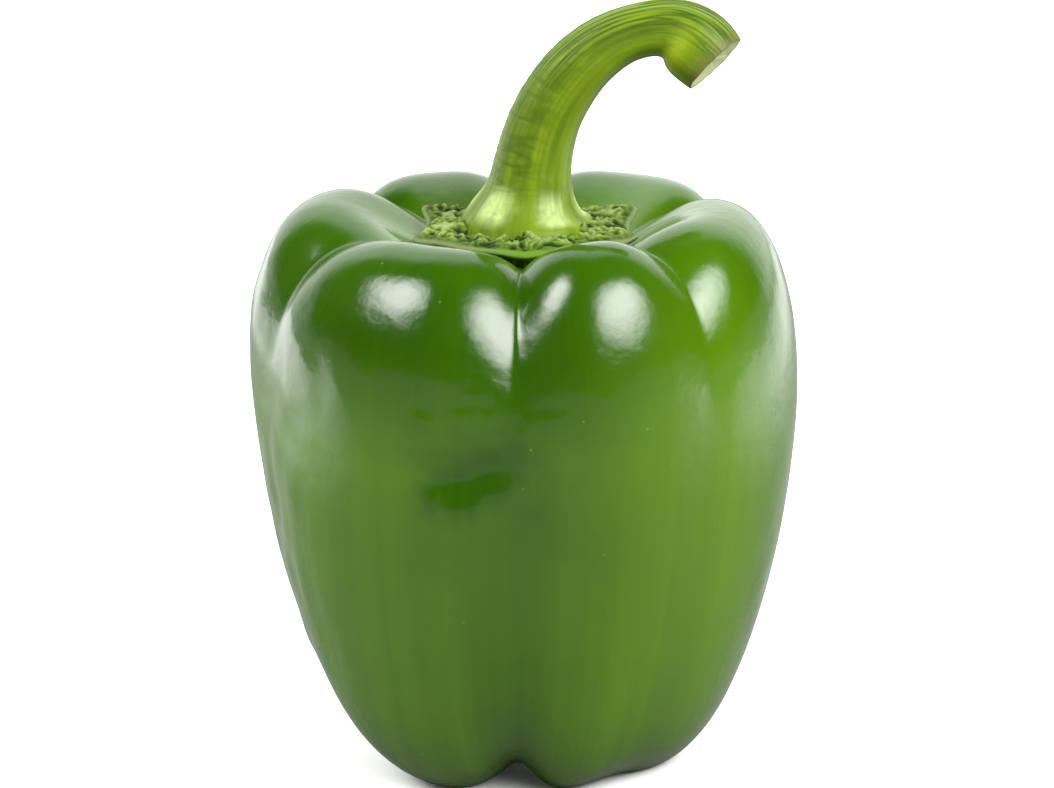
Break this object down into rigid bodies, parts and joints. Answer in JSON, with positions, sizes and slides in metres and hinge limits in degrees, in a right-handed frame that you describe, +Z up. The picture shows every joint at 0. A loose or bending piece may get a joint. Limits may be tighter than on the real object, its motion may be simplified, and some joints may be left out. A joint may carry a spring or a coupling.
{
  "type": "bell pepper",
  "caption": "Blocky lobed sweet pepper standing upright, with a crumpled calyx on its sunken crown and a hooked ribbed stem cut short.",
  "frame": {"origin": "on the surface the pepper stands on, below the middle of its outline", "axes": "+Z up from the blossom end to the stem; the front, with the deep middle crease, faces -Y; the stem hooks over towards +X"},
  "size_m": [0.0835, 0.0814, 0.1178],
  "materials": {
    "pepper_skin": "smooth waxy skin, glossy deep green",
    "calyx_leaf": "crumpled, matte grey green",
    "stem_green": "ribbed and finely lined, satin yellow green"
  },
  "bodies": {
    "root": {"fruit": "pepper_skin", "calyx": "calyx_leaf", "stem": "stem_green"}
  },
  "joints": []
}
